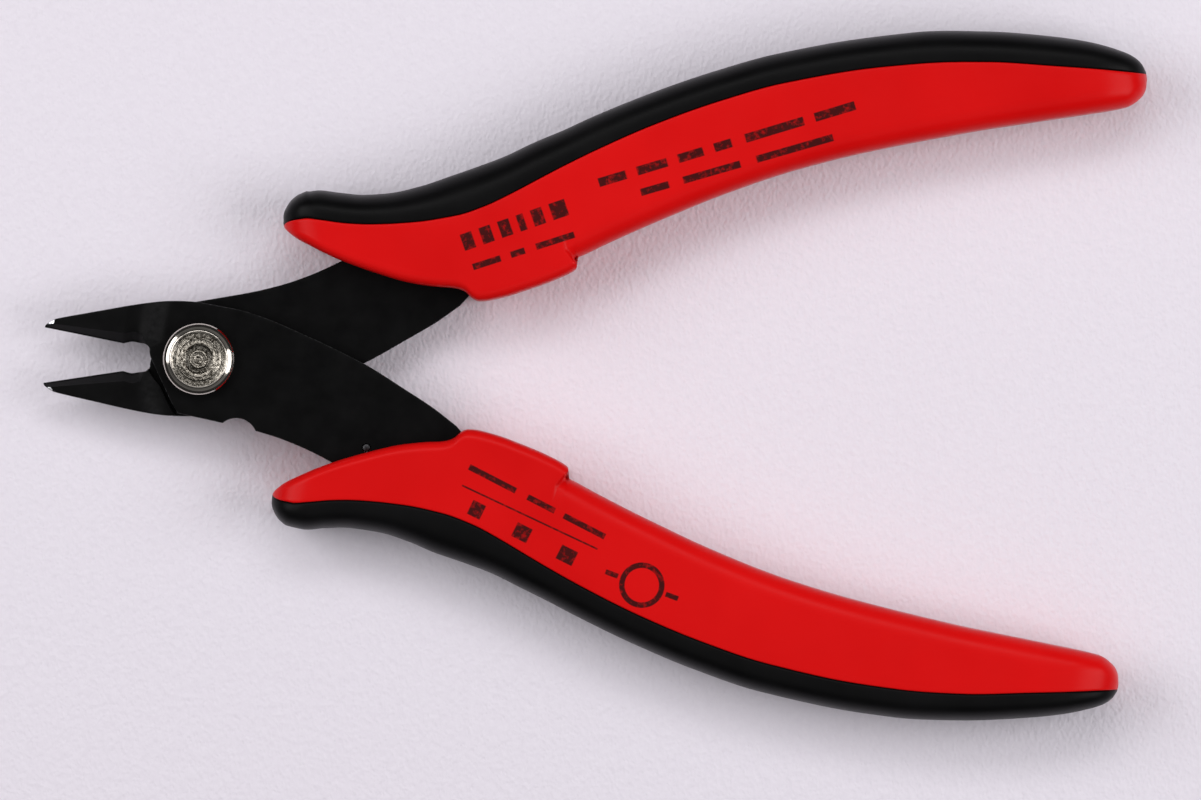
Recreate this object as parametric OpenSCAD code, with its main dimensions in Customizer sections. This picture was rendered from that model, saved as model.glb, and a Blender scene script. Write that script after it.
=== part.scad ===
// Flush cutter: two crossed steel halves riveted at the head, a hairpin
// return spring behind the pivot, and a two-material grip on each tang.
// The halves are drawn as they lie with the jaws shut, handles along +X,
// and each is then turned about the pivot by half the opening.

/* [Opening] */
// Full angle between the halves from jaws shut to the open stop, degrees
open_angle = 20; // [16:0.5:22]

/* [Steel halves] */
// Thickness of each stamped half
plate_t = 2.5; // [2:0.1:3]
// Air between the two halves at the sliding face
slide_gap = 0.06; // [0.04:0.01:0.1]
// Distance from the pivot to the jaw tips
jaw_reach = 18.7; // [17:0.1:20]
// Length of the cutting edge
edge_len = 9.5; // [7:0.1:9.8]
// Air left between the two edges when shut
edge_gap = 0.06; // [0.02:0.01:0.1]
// Thickness of the jaws at their root
jaw_t = 2.5; // [2:0.1:2.6]
// Thickness of the jaws at the tips
tip_t = 1.4; // [1:0.1:2]
// Angle of the ground bevel from the upright, degrees
bevel_a = 28; // [20:1:34]
// Radius of the round notch in the front half
notch_r = 2.5; // [2:0.1:2.8]

/* [Pivot] */
// Diameter of the stud's front head
head_d = 8.5; // [7.5:0.1:9]
// Height of the stud's front head
head_h = 1.9; // [1.4:0.1:2.4]
// Diameter of the stud where the halves turn on it
shank_d = 5; // [4:0.1:5.5]
// Radial running clearance of the front half on the stud
run_c = 0.03; // [0.02:0.01:0.08]
// Diameter of the collar fixed on the stud behind the rear half
collar_d = 9; // [8.8:0.1:9.6]

/* [Return spring] */
// Wire diameter
wire_d = 1; // [0.8:0.1:1]
// Radius of the loop, to the middle of the wire
loop_r = 3.9; // [3.8:0.05:4]

/* [Grips] */
// Half of the grip thickness over its long flat part
grip_h = 5.5; // [5.2:0.1:6]
// Radius of the grip's edge on the inner side
grip_edge = 1.8; // [1:0.1:2.2]
// How far the soft strip sits below the hard face at the parting line
strip_drop = 0.15; // [0.05:0.05:0.3]

/* [Hidden] */

half_a = open_angle / 2;
zg = slide_gap / 2;
e = 0.01;

// The pivot's place in the part's frame: the footprint is centred on the
// origin and the grips' undersides lie on z = 0.
pivot_x = -46.3;
pivot_z = grip_h;

steel = [0.09, 0.09, 0.1];
nickel = [0.74, 0.71, 0.66];
wire_c = [0.3, 0.3, 0.32];
red = [0.86, 0.07, 0.06];
black = [0.07, 0.07, 0.08];

// ---------- helpers ----------

// Catmull-Rom step between rows b and c
function cr(a, b, c, d, t) =
  0.5 * (2 * b + (c - a) * t + (2 * a - 5 * b + 4 * c - d) * t * t
         + (3 * b - a - 3 * c + d) * t * t * t);
function at(rows, i) = rows[max(0, min(len(rows) - 1, i))];
function smooth(rows, k) = [
  for (i = [0 : len(rows) - 2]) for (j = [0 : k - 1])
    cr(at(rows, i - 1), rows[i], rows[i + 1], at(rows, i + 2), j / k),
  rows[len(rows) - 1]
];

// A closed solid through rings of points, each ring with the same count
module skin(rings) {
  n = len(rings[0]);
  m = len(rings);
  polyhedron(
    points = [for (r = rings) for (p = r) p],
    faces = concat(
      [[for (j = [0 : n - 1]) j]],
      [for (i = [0 : m - 2]) for (j = [0 : n - 1])
        let (k = (j + 1) % n) each [
          [i * n + j, (i + 1) * n + j, (i + 1) * n + k],
          [i * n + j, (i + 1) * n + k, i * n + k]]],
      [[for (j = [n - 1 : -1 : 0]) (m - 1) * n + j]]),
    convexity = 6);
}

module placed() { translate([pivot_x, 0, pivot_z]) children(); }
// The rear half opens upwards (+Y), the front half downwards (-Y)
module opened_rear() { placed() rotate([0, 0, half_a]) children(); }
module opened_front() { placed() rotate([0, 0, -half_a]) mirror([0, 1, 0]) children(); }

// ---------- steel halves, handle to +Y and jaw to -Y, jaws shut ----------

// Head and tang, bounded by the nose edge that clears the other jaw
head_pts = [
  [-5.9, -0.45], [-5.9, 0], [-5.4, 1.2], [-4.6, 2.4], [-3.4, 4], [-2.3, 5.5],
  [-1.2, 6.75], [4, 6.8], [8, 6.9], [11, 7.2], [14, 7.8], [16, 8.3], [18, 8.9],
  [22, 10], [30, 10.4], [38, 12], [46, 14.2], [54, 16.4], [62, 18.2], [66, 18.6],
  [68, 17.6], [68, 14.6], [66, 13.2], [58, 11.6], [50, 9.2], [46, 8], [44, 6.2],
  [38, 4.4], [33, 3], [31.3, 1.7], [28.3, 0.2], [24.3, -1.4], [19.7, -3.15],
  [15.5, -4.3], [11, -5.4], [7, -6.2], [4, -6.6], [0, -6.6], [-2, -6.5], [-3.7, -6.2],
  [-4.3, -4.3], [-4.9, -2.3], [-5.6, -1.1]
];

// The whole jaw outline, running into the head
jaw_pts = [
  [-jaw_reach, -edge_gap / 2], [-jaw_reach + edge_len, -edge_gap / 2],
  [-8.5, -0.45], [-5.9, -0.45], [-5, -2.3], [-3, -2.3], [-3, -6.25],
  [-5.5, -5.85], [-7.5, -5.25], [-9.4, -4.55], [-11.3, -3.8], [-13.3, -3],
  [-jaw_reach + 3.3, -2.2], [-jaw_reach + 1.5, -1.5], [-jaw_reach + 0.3, -0.95],
  [-jaw_reach, -0.65]
];

// Where the raised jaw ends: the shoulder that clears the other half's nose
shoulder_pts = [
  [-6.15, 0], [-6.15, -0.45], [-5.8, -1.2], [-5.05, -2.4], [-4.5, -4.3], [-3.9, -6.2],
  [-3.8, -8], [2, -8], [2, 0]
];

// Side outline of the jaws: the rear face is flush at -jaw_t / 2
module jaw_side(front) {
  lo = -jaw_t / 2;
  hi = jaw_t / 2;
  rotate([90, 0, 0]) linear_extrude(height = 20, center = true)
    polygon(front
      ? [[-20, lo], [-20, lo + tip_t], [-jaw_reach, lo + tip_t], [-9, hi],
         [-8, hi + 0.1], [-5, plate_t], [0, plate_t], [0, lo]]
      : [[-20, lo], [-20, lo + tip_t], [-jaw_reach, lo + tip_t], [-9, hi],
         [0, hi], [0, -plate_t], [-5, -plate_t], [-8, lo]]);
}

module jaw(front) {
  difference() {
    intersection() {
      translate([0, 0, -plate_t - 1]) linear_extrude(height = 2 * plate_t + 2) polygon(jaw_pts);
      jaw_side(front);
    }
    translate([0, 0, front ? zg - 5 : -zg]) linear_extrude(height = 5) polygon(shoulder_pts);
    // ground bevel on the front face, down to a narrow land at the edge
    translate([0, -edge_gap / 2, -jaw_t / 2 + 0.2]) rotate([90, 0, 90])
      translate([0, 0, -20]) linear_extrude(height = 20 - jaw_reach + edge_len + 0.1)
        polygon([[0, 0], [-5 * tan(bevel_a), 5], [2, 5], [2, 0]]);
    // clipped corner of the blunt tip
    translate([-jaw_reach, -0.9, 0]) rotate([0, 0, 35]) translate([-2, -1.2, -5]) cube([2, 4, 10]);
  }
}

module half(front) {
  difference() {
    union() {
      translate([0, 0, front ? zg : -plate_t])
        linear_extrude(height = plate_t - zg) polygon(head_pts);
      jaw(front);
    }
    if (front)
      translate([0, 0, -plate_t]) cylinder(h = 3 * plate_t, r = shank_d / 2 + run_c, $fn = 64);
    else
      translate([0, 0, -2 * plate_t]) cylinder(h = 3 * plate_t, r = shank_d / 2, $fn = 64);
    // holes that lock the moulded grip to the tang
    for (p = [[42, 9.3], [58, 14.3]])
      translate([p[0], p[1], -plate_t - 1]) cylinder(h = 2 * plate_t + 2, r = 1.6, $fn = 32);
  }
}

// Where each leg of the spring is hooked, with the halves shut
hook = [21.4, 6.3];

module front_blade() {
  color(steel) opened_front() difference() {
    half(true);
    // round notch in the outer edge
    translate([6.15, 8.4, -plate_t]) cylinder(h = 3 * plate_t, r = notch_r, $fn = 48);
    translate([hook[0], hook[1], -e]) cylinder(h = plate_t + 1, r = wire_d / 2 + 0.05, $fn = 32);
  }
}

module rear_blade() {
  color(steel) opened_rear() difference() {
    half(false);
    translate([hook[0], hook[1], -plate_t - 1]) cylinder(h = plate_t + 0.6, r = wire_d / 2 + 0.05, $fn = 32);
  }
}

// ---------- pivot ----------

module pivot_stud() {
  r = head_d / 2;
  z0 = plate_t + 0.03;
  z1 = z0 + head_h;
  color(nickel) placed() rotate_extrude($fn = 96)
    polygon([
      [0, -5], [1.8, -5], [1.8, -plate_t], [shank_d / 2, -plate_t], [shank_d / 2, z0],
      [r, z0], [r, z0 + 0.7], [r - 0.9, z1], [2.9, z1], [2.75, z1 - 0.15],
      [2.45, z1 - 0.15], [2.3, z1 - 0.05], [1.65, z1 - 0.05], [1.5, z1 - 0.3],
      [1.05, z1 - 0.3], [0.95, z1 - 0.1], [0.6, z1 - 0.1], [0.5, z1 - 0.25], [0, z1 - 0.25]
    ]);
}

module pivot_collar() {
  r = collar_d / 2;
  color(nickel) placed() rotate_extrude($fn = 96)
    polygon([
      [1.8, -4.95], [r - 0.4, -4.95], [r, -4.55], [r, -3.85], [3.1, -3.85],
      [3.1, -plate_t], [1.8, -plate_t]
    ]);
}

// ---------- return spring, drawn open as it rests ----------

// The wire's route is a list of [point, direction, side], the side being a
// level unit vector square to the direction.
function leg_route(m, u, n, tip, leg, br, z) =
  let (hx = loop_r * n + leg * u, f = function(v) [v[0], m * v[1]])
  concat(
    [for (q = [tip, z + br]) [[f(hx)[0], f(hx)[1], q], [0, 0, -1], [f(n)[0], f(n)[1], 0]]],
    [for (a = [22.5 : 22.5 : 90])
      let (c = hx - br * u + br * cos(a) * u)
      [[f(c)[0], f(c)[1], z + br - br * sin(a)], [-sin(a) * f(u)[0], -sin(a) * f(u)[1], -cos(a)],
       [f(n)[0], f(n)[1], 0]]],
    [let (c = hx - leg / 2 * u) [[f(c)[0], f(c)[1], z], [-f(u)[0], -f(u)[1], 0], [f(n)[0], f(n)[1], 0]]]);

module return_spring() {
  w = wire_d / 2;
  z = -plate_t - w - 0.15;
  c = cos(half_a);
  s = sin(half_a);
  h = [hook[0] * c - hook[1] * s, hook[0] * s + hook[1] * c];
  ta = atan2(h[1], h[0]) + acos(loop_r / norm(h));   // where a leg leaves the loop
  leg = sqrt(h * h - loop_r * loop_r);
  u = [sin(ta), -cos(ta)];
  n = [cos(ta), sin(ta)];
  lower = leg_route(-1, u, n, plate_t - 0.1, leg, 1, z);
  route = concat(
    leg_route(1, u, n, -0.6, leg, 1, z),
    [for (i = [0 : 16]) let (a = ta + i * (360 - 2 * ta) / 16)
      [[loop_r * cos(a), loop_r * sin(a), z], [-sin(a), cos(a), 0], [cos(a), sin(a), 0]]],
    [for (i = [len(lower) - 1 : -1 : 0]) [lower[i][0], -lower[i][1], lower[i][2]]]);
  color(wire_c) placed() skin([for (r = route)
    [for (q = [0 : 30 : 330]) r[0] + w * (cos(q) * r[2] + sin(q) * cross(r[1], r[2]))]]);
}

// ---------- grips, upper one drawn, jaws shut ----------

// Along the grip: x, inner edge, parting line, outer edge, half thickness
grip_rows = [
  [11.9, 14, 14.1, 14.5, 0.9], [12.05, 13.7, 14.2, 15.4, 2.2],
  [12.5, 13.1, 14.4, 16.2, 3.3], [13.3, 12.3, 14.5, 17, 4.3],
  [14.5, 11.4, 14.5, 17.6, 5], [16.2, 10.2, 14.1, 17.7, 5.4],
  [19, 8.5, 13.3, 17, 5.5], [22, 6.9, 12.7, 16.3, 5.5],
  [25.5, 5.3, 12.3, 16.1, 5.5], [29, 4.3, 12.1, 16.4, 5.5],
  [31.6, 3.6, 12.1, 16.8, 5.5], [32.6, 2.8, 12.2, 17, 5.5],
  [33.2, 2, 12.3, 17.1, 5.5], [34.5, 1.8, 12.5, 17.3, 5.5],
  [39, 2.3, 13.7, 18.3, 5.5], [43, 3.1, 15.1, 19.5, 5.5],
  [45.2, 3.8, 15.9, 20.1, 5.5], [46.2, 5.3, 16.2, 20.3, 5.5],
  [50, 6.5, 17.4, 21.4, 5.5], [57, 8.4, 19.3, 23.1, 5.5],
  [65, 10.3, 20.9, 24.6, 5.5], [73, 11.7, 21.9, 25.6, 5.5],
  [81, 12.5, 22.1, 25.9, 5.5], [89, 12.9, 21.8, 25.7, 5.5],
  [97, 13.1, 20.8, 24.6, 5.5], [105, 13.1, 19.1, 22.8, 5.5],
  [109.5, 13.1, 18.1, 21.4, 5.3], [112.4, 13.2, 17.4, 20.1, 4.7],
  [114.1, 13.9, 17, 19.1, 3.7], [115.1, 14.8, 16.8, 18.1, 2.4],
  [115.4, 15.7, 16.7, 17.2, 1.2]
];
rows = smooth(grip_rows, 2);

function body_ring(r) =
  let (h = min(grip_h, r[4] * grip_h / 5.5), c = min(grip_edge, 0.45 * (r[2] - r[1]), 0.8 * h))
  concat(
    [[r[0], r[2], -h]],
    [for (a = [0 : 22.5 : 90]) [r[0], r[1] + c - c * sin(a), -h + c - c * cos(a)]],
    [for (a = [0 : 22.5 : 90]) [r[0], r[1] + c - c * cos(a), h - c + c * sin(a)]],
    [[r[0], r[2], h]]);

function strip_ring(r) =
  let (h = min(grip_h, r[4] * grip_h / 5.5) - strip_drop, w = r[3] - r[2])
  [for (a = [-90 : 15 : 90]) [r[0], r[2] + w * cos(a), h * sin(a)]];

module grip_body(front) {
  difference() {
    skin([for (r = rows) body_ring(r)]);
    // the tang's pocket, with posts through its two holes
    difference() {
      translate([0, 0, front ? zg : -plate_t]) linear_extrude(height = plate_t - zg) polygon(head_pts);
      for (p = [[42, 9.3], [58, 14.3]])
        translate([p[0], p[1], -plate_t - 1]) cylinder(h = 2 * plate_t + 2, r = 1.6, $fn = 32);
    }
  }
}

module grip_strip() { skin([for (r = rows) strip_ring(r)]); }

module upper_grip_body() { color(red) opened_rear() grip_body(false); }
module upper_grip_strip() { color(black) opened_rear() grip_strip(); }
module lower_grip_body() { color(red) opened_front() grip_body(true); }
module lower_grip_strip() { color(black) opened_front() grip_strip(); }

front_blade();
rear_blade();
pivot_stud();
pivot_collar();
return_spring();
upper_grip_body();
upper_grip_strip();
lower_grip_body();
lower_grip_strip();
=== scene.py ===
import math
import bmesh
import bpy
import numpy as np
from mathutils import Matrix, Vector
from mathutils.geometry import delaunay_2d_cdt


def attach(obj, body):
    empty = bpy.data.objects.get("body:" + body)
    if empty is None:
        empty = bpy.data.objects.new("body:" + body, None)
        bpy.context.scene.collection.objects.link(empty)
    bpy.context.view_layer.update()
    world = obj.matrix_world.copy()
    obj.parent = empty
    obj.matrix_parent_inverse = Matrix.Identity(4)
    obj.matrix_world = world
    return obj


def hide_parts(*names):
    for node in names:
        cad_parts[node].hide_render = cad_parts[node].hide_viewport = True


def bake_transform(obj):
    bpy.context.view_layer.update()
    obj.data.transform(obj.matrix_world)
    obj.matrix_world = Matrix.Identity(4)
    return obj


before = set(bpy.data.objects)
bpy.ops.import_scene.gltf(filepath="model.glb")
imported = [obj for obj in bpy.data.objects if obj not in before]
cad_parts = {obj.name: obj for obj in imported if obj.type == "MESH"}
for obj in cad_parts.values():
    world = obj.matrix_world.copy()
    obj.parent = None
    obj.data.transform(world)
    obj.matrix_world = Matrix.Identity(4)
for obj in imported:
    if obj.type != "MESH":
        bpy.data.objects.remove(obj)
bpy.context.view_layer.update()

MM = 0.001
PIVOT = (-46.3, 0.0, 5.5)      # the pivot, in mm in the row frame
HALF = math.radians(10)        # each half is turned by this much when open
GAP = 0.03                     # half the air between the two steel halves

scene = bpy.context.scene
scene.view_settings.view_transform = "Standard"
scene.view_settings.look = "None"


# ------------------------------------------------------------------ helpers

def to_row(co, rear):
    """Points in mm with the jaws shut, handle to +Y, to metres in the row frame."""
    co = np.asarray(co, float).copy()
    a = HALF
    if not rear:
        co[:, 1] *= -1
        a = -HALF
    c, s = math.cos(a), math.sin(a)
    x, y = co[:, 0] * c - co[:, 1] * s, co[:, 0] * s + co[:, 1] * c
    return np.stack([x + PIVOT[0], y + PIVOT[1], co[:, 2] + PIVOT[2]], 1) * MM


def make(name, verts, faces, sharp=50, attrs=None, uv=None, mats=None, mat_index=None):
    """A mesh object with smooth faces and sharp creases above an angle."""
    me = bpy.data.meshes.new(name)
    me.from_pydata([tuple(v) for v in verts], [], [tuple(int(i) for i in f) for f in faces])
    for k, v in (attrs or {}).items():
        at = me.attributes.new(k, "FLOAT", "POINT")
        at.data.foreach_set("value", np.asarray(v, np.float32))
    if mat_index is not None:
        me.polygons.foreach_set("material_index", np.asarray(mat_index, np.int32))
    if uv is not None:
        layer = me.uv_layers.new(name="UVMap")
        loops = np.zeros(len(me.loops), np.int32)
        me.loops.foreach_get("vertex_index", loops)
        layer.data.foreach_set("uv", np.asarray(uv, np.float32)[loops].ravel())
    bm = bmesh.new()
    bm.from_mesh(me)
    bmesh.ops.recalc_face_normals(bm, faces=bm.faces)
    lim = math.radians(sharp)
    for f in bm.faces:
        f.smooth = True
    for e in bm.edges:
        e.smooth = not (len(e.link_faces) == 2 and e.calc_face_angle(0) > lim)
    bm.to_mesh(me)
    bm.free()
    ob = bpy.data.objects.new(name, me)
    scene.collection.objects.link(ob)
    for m in mats or []:
        me.materials.append(m)
    return ob


def rings(loops, close=True):
    """Faces of a tube through rings with the same count, with end caps."""
    m, n = len(loops), len(loops[0])
    f = []
    for i in range(m - 1):
        for j in range(n):
            k = (j + 1) % n
            f.append((i * n + j, i * n + k, (i + 1) * n + k, (i + 1) * n + j))
    if close:
        f.append(tuple(range(n))[::-1])
        f.append(tuple((m - 1) * n + j for j in range(n)))
    return f


def lathe(name, profile, seg=160, sharp=40, mats=None):
    """A turned piece round the pivot axis from (radius, height) in mm, axis to axis."""
    pr = np.array(profile, float)
    ang = np.arange(seg) * 2 * math.pi / seg
    verts, faces = [], []
    ids = []
    for r, z in pr:
        if r < 1e-6:
            ids.append([len(verts)])
            verts.append((PIVOT[0] * MM, 0, (z + PIVOT[2]) * MM))
        else:
            ids.append(list(range(len(verts), len(verts) + seg)))
            for a in ang:
                verts.append(((PIVOT[0] + r * math.cos(a)) * MM, r * math.sin(a) * MM, (z + PIVOT[2]) * MM))
    for a, b in zip(ids, ids[1:]):
        for j in range(seg):
            k = (j + 1) % seg
            if len(a) == 1 and len(b) == 1:
                continue
            if len(a) == 1:
                faces.append((a[0], b[j], b[k]))
            elif len(b) == 1:
                faces.append((a[j], a[k], b[0]))
            else:
                faces.append((a[j], a[k], b[k], b[j]))
    if len(ids[0]) > 1:           # a closed ring section
        a, b = ids[-1], ids[0]
        for j in range(seg):
            k = (j + 1) % seg
            faces.append((a[j], a[k], b[k], b[j]))
    return make(name, verts, faces, sharp, mats=mats)


def rounded(profile, r=0.06, n=3):
    """The profile with each inner corner replaced by a short round of about r."""
    p = [np.array(q, float) for q in profile]
    out = [p[0]]
    for a, b, c in zip(p, p[1:], p[2:]):
        u, v = a - b, c - b
        lu, lv = np.linalg.norm(u), np.linalg.norm(v)
        t = min(r, 0.4 * lu, 0.4 * lv)
        s, e = b + u / lu * t, b + v / lv * t
        for i in range(n + 1):
            w = i / n
            out.append((1 - w) ** 2 * s + 2 * w * (1 - w) * b + w * w * e)
    out.append(p[-1])
    return [tuple(q) for q in out]


def pchip(xk, yk, x):
    """Monotone cubic through knots, for arrays of columns."""
    xk, yk, x = np.asarray(xk, float), np.asarray(yk, float), np.asarray(x, float)
    if yk.ndim == 1:
        yk = yk[:, None]
    h = np.diff(xk)
    d = np.diff(yk, axis=0) / h[:, None]
    m = np.zeros_like(yk)
    for i in range(1, len(xk) - 1):
        w1, w2 = 2 * h[i] + h[i - 1], h[i] + 2 * h[i - 1]
        ok = d[i - 1] * d[i] > 0
        with np.errstate(divide="ignore", invalid="ignore"):
            m[i] = np.where(ok, (w1 + w2) / (w1 / d[i - 1] + w2 / d[i]), 0)
    m[0], m[-1] = d[0], d[-1]
    k = np.clip(np.searchsorted(xk, x) - 1, 0, len(xk) - 2)
    t = ((x - xk[k]) / h[k])[:, None]
    hk = h[k][:, None]
    return ((2 * t**3 - 3 * t**2 + 1) * yk[k] + (t**3 - 2 * t**2 + t) * hk * m[k]
            + (-2 * t**3 + 3 * t**2) * yk[k + 1] + (t**3 - t**2) * hk * m[k + 1])


def step(a, b, x):
    t = np.clip((np.asarray(x, float) - a) / (b - a), 0, 1)
    return t * t * (3 - 2 * t)


# ------------------------------------------------------------------ materials

def nodes_of(name):
    m = bpy.data.materials.new(name)
    m.use_nodes = True
    nt = m.node_tree
    bsdf = nt.nodes["Principled BSDF"]
    return m, nt, bsdf


def add(nt, kind, **kw):
    n = nt.nodes.new(kind)
    for k, v in kw.items():
        if k in n.inputs:
            n.inputs[k].default_value = v
        else:
            setattr(n, k, v)
    return n


def coord(nt, scale=(1, 1, 1), what="Object"):
    tc = nt.nodes.new("ShaderNodeTexCoord")
    mp = nt.nodes.new("ShaderNodeMapping")
    mp.inputs["Scale"].default_value = scale
    nt.links.new(tc.outputs[what], mp.inputs["Vector"])
    return mp.outputs["Vector"]


def noise(nt, vec, scale, detail=3, rough=0.5, dist=0.0):
    n = add(nt, "ShaderNodeTexNoise", Scale=scale, Detail=detail, Roughness=rough, Distortion=dist)
    nt.links.new(vec, n.inputs["Vector"])
    return n.outputs["Fac"]


def ramp(nt, fac, stops, interp="LINEAR"):
    r = nt.nodes.new("ShaderNodeValToRGB")
    r.color_ramp.interpolation = interp
    el = r.color_ramp.elements
    while len(el) < len(stops):
        el.new(0.5)
    for e, (p, c) in zip(el, stops):
        e.position = p
        e.color = (c, c, c, 1) if isinstance(c, (int, float)) else (*c, 1)
    nt.links.new(fac, r.inputs["Fac"])
    return r.outputs["Color"]


def math_(nt, op, a, b=None, clamp=False):
    n = nt.nodes.new("ShaderNodeMath")
    n.operation = op
    n.use_clamp = clamp
    for i, v in enumerate((a, b)):
        if v is None:
            continue
        if isinstance(v, (int, float)):
            n.inputs[i].default_value = v
        else:
            nt.links.new(v, n.inputs[i])
    return n.outputs[0]


def mix(nt, fac, a, b):
    n = nt.nodes.new("ShaderNodeMix")
    n.data_type = "RGBA"
    for key, v in (("Factor", fac), ("A", a), ("B", b)):
        sock = [s for s in n.inputs if s.name == key and (key == "Factor" or s.type == "RGBA")][0]
        if isinstance(v, (int, float)):
            sock.default_value = v
        elif isinstance(v, tuple):
            sock.default_value = (*v, 1)
        else:
            nt.links.new(v, sock)
    return [o for o in n.outputs if o.type == "RGBA"][0]


def bump(nt, bsdf, height, strength, distance):
    b = nt.nodes.new("ShaderNodeBump")
    b.inputs["Strength"].default_value = strength
    b.inputs["Distance"].default_value = distance
    nt.links.new(height, b.inputs["Height"])
    nt.links.new(b.outputs["Normal"], bsdf.inputs["Normal"])


def steel_black():
    """Black oxide over a fine ground face, thinner along the edges, with a painted mottled highlight lightening the
    slope where the jaws are set over.
    """
    m, nt, p = nodes_of("black_oxide")
    v = coord(nt)
    fine = noise(nt, v, 9000, 4, 0.6)
    blotch = noise(nt, v, 420, 4, 0.55)
    att = add(nt, "ShaderNodeAttribute", attribute_name="wear")
    wear = att.outputs["Fac"]
    jog = add(nt, "ShaderNodeAttribute", attribute_name="jog").outputs["Fac"]
    base = ramp(nt, blotch, [(0.3, (0.0030, 0.0030, 0.0031)), (0.75, (0.0052, 0.0052, 0.0053))])
    # painted highlight: the set-over slope of the jaws gets a lighter base colour in mottled patches, standing in for
    # the light that slope catches
    painted_jog_sheen = math_(nt, "MULTIPLY", jog, ramp(nt, noise(nt, v, 1500, 4, 0.6), [(0.35, 0.25), (0.7, 1.0)]), True)
    base = mix(nt, painted_jog_sheen, base, (0.0125, 0.0125, 0.0128))
    worn = math_(nt, "MULTIPLY", wear, ramp(nt, noise(nt, v, 2600, 3, 0.6), [(0.42, 0.0), (0.7, 1.0)]), True)
    base = mix(nt, math_(nt, "MULTIPLY", worn, 0.55), base, (0.06, 0.06, 0.062))
    nt.links.new(base, p.inputs["Base Color"])
    rough = ramp(nt, math_(nt, "ADD", math_(nt, "MULTIPLY", fine, 0.5), math_(nt, "MULTIPLY", blotch, 0.5)),
                 [(0.3, 0.27), (0.7, 0.36)])
    rough = math_(nt, "ADD", rough, math_(nt, "MULTIPLY", jog, 0.22))
    nt.links.new(rough, p.inputs["Roughness"])
    p.inputs["Specular IOR Level"].default_value = 0.035
    bump(nt, p, fine, 0.14, 0.00002)
    return m


def steel_bare():
    """Ground bare steel, with the wheel's fine lines."""
    m, nt, p = nodes_of("ground_steel")
    v = coord(nt, (1, 12, 12))
    lines = noise(nt, v, 4200, 3, 0.6)
    nt.links.new(ramp(nt, lines, [(0.3, (0.50, 0.51, 0.53)), (0.7, (0.78, 0.79, 0.82))]), p.inputs["Base Color"])
    nt.links.new(ramp(nt, lines, [(0.3, 0.26), (0.7, 0.38)]), p.inputs["Roughness"])
    p.inputs["Metallic"].default_value = 1.0
    bump(nt, p, lines, 0.3, 0.00001)
    return m


def nickel(name="turned_nickel"):
    """Turned steel, nickel plated: fine rings round the axis and a sparkling worn skin."""
    m, nt, p = nodes_of(name)
    tc = nt.nodes.new("ShaderNodeTexCoord")
    mp = nt.nodes.new("ShaderNodeMapping")
    mp.inputs["Location"].default_value = (-PIVOT[0] * MM, 0, 0)
    nt.links.new(tc.outputs["Object"], mp.inputs["Vector"])
    sep = nt.nodes.new("ShaderNodeSeparateXYZ")
    nt.links.new(mp.outputs["Vector"], sep.inputs[0])
    x, y = sep.outputs[0], sep.outputs[1]
    r = math_(nt, "SQRT", math_(nt, "ADD", math_(nt, "MULTIPLY", x, x), math_(nt, "MULTIPLY", y, y)))
    grooves = math_(nt, "SINE", math_(nt, "MULTIPLY", r, 2 * math.pi / 0.00016))
    v = coord(nt)
    coarse = noise(nt, v, 1900, 4, 0.6)
    inner = ramp(nt, math_(nt, "MULTIPLY", r, 100), [(0.315, 1.0), (0.335, 0.0)])
    unit = nt.nodes.new("ShaderNodeCombineXYZ")
    for i, q in enumerate((x, y)):
        nt.links.new(math_(nt, "MULTIPLY", math_(nt, "DIVIDE", q, math_(nt, "ADD", r, 0.0001)), 7.0), unit.inputs[i])
    nt.links.new(math_(nt, "MULTIPLY", r, 6200.0), unit.inputs[2])
    turned = noise(nt, unit.outputs[0], 1.0, 3, 0.7)
    spark = math_(nt, "ADD", math_(nt, "MULTIPLY", turned, 0.55), math_(nt, "MULTIPLY", noise(nt, v, 3600, 3, 0.75), 0.45))
    h = math_(nt, "ADD", math_(nt, "MULTIPLY", grooves, 0.10), math_(nt, "MULTIPLY", spark, 1.5))
    h = math_(nt, "MULTIPLY", h, math_(nt, "ADD", math_(nt, "MULTIPLY", inner, 0.93), 0.07))
    pits = ramp(nt, spark, [(0.44, 0.0), (0.55, 1.0)])
    tint = mix(nt, pits, (0.06, 0.05, 0.038), (0.92, 0.86, 0.74))
    tint = mix(nt, ramp(nt, coarse, [(0.35, 0.0), (0.65, 0.45)]), tint, (0.10, 0.088, 0.066))
    ring = ramp(nt, math_(nt, "MULTIPLY", r, 100), [(0.0, 0.45), (0.035, 0.45), (0.045, 0.9), (0.055, 0.4), (0.085, 0.5),
                (0.095, 1.0), (0.108, 0.25), (0.155, 0.28), (0.165, 0.85), (0.205, 1.0), (0.22, 0.5), (0.238, 0.55),
                (0.246, 1.0), (0.256, 0.45), (0.30, 0.55), (0.322, 0.6), (0.330, 1.0), (0.343, 1.0), (0.352, 0.85), (0.43, 0.85)])
    skin = mix(nt, inner, (0.70, 0.655, 0.585), tint)
    mul = nt.nodes.new("ShaderNodeVectorMath")
    mul.operation = "MULTIPLY"
    nt.links.new(skin, mul.inputs[0])
    nt.links.new(ring, mul.inputs[1])
    nt.links.new(mul.outputs[0], p.inputs["Base Color"])
    p.inputs["Metallic"].default_value = 1.0
    rough = math_(nt, "ADD", math_(nt, "MULTIPLY", inner, 0.10), ramp(nt, coarse, [(0.3, 0.07), (0.7, 0.13)]))
    nt.links.new(rough, p.inputs["Roughness"])
    bump(nt, p, h, 0.7, 0.00007)
    return m


def wire():
    m, nt, p = nodes_of("spring_wire")
    v = coord(nt)
    n = noise(nt, v, 2500, 4, 0.6)
    nt.links.new(ramp(nt, n, [(0.3, (0.022, 0.022, 0.023)), (0.7, (0.07, 0.07, 0.073))]), p.inputs["Base Color"])
    nt.links.new(ramp(nt, n, [(0.3, 0.30), (0.7, 0.46)]), p.inputs["Roughness"])
    p.inputs["Metallic"].default_value = 1.0
    bump(nt, p, n, 0.3, 0.00002)
    return m


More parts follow.
